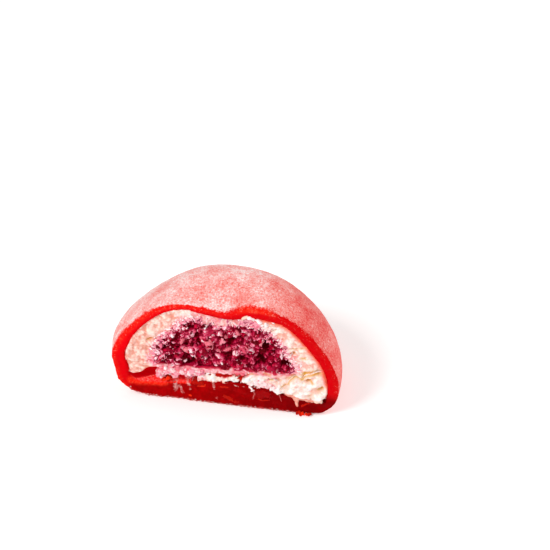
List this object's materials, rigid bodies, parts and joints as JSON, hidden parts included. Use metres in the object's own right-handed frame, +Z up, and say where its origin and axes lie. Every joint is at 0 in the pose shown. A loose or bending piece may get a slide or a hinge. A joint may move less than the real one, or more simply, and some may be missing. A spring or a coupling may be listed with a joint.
{
  "type": "raspberry mochi, cut half",
  "caption": "Half a round rice dough sweet with a flat base; its cut face shows a cream filling round a crumbly raspberry core.",
  "frame": {"origin": "middle of the footprint, at the height of the surface it rests on", "axes": "+X along the cut face to the right as seen from the front, +Y from the cut face to the back, +Z up"},
  "size_m": [0.0502, 0.0256, 0.0284],
  "materials": {
    "rice_dough": "soft red rice dough, dusted pale pink with starch outside, bare and glossy red where it is cut",
    "cream": "ivory aerated cream, stained pink beside the raspberry core",
    "raspberry": "crumbly moist dark magenta with pale pink frosty crystals"
  },
  "bodies": {
    "root": {"mochi_skin": "rice_dough", "cream": "cream", "cream_base": "cream", "raspberry_core": "raspberry"}
  },
  "joints": []
}
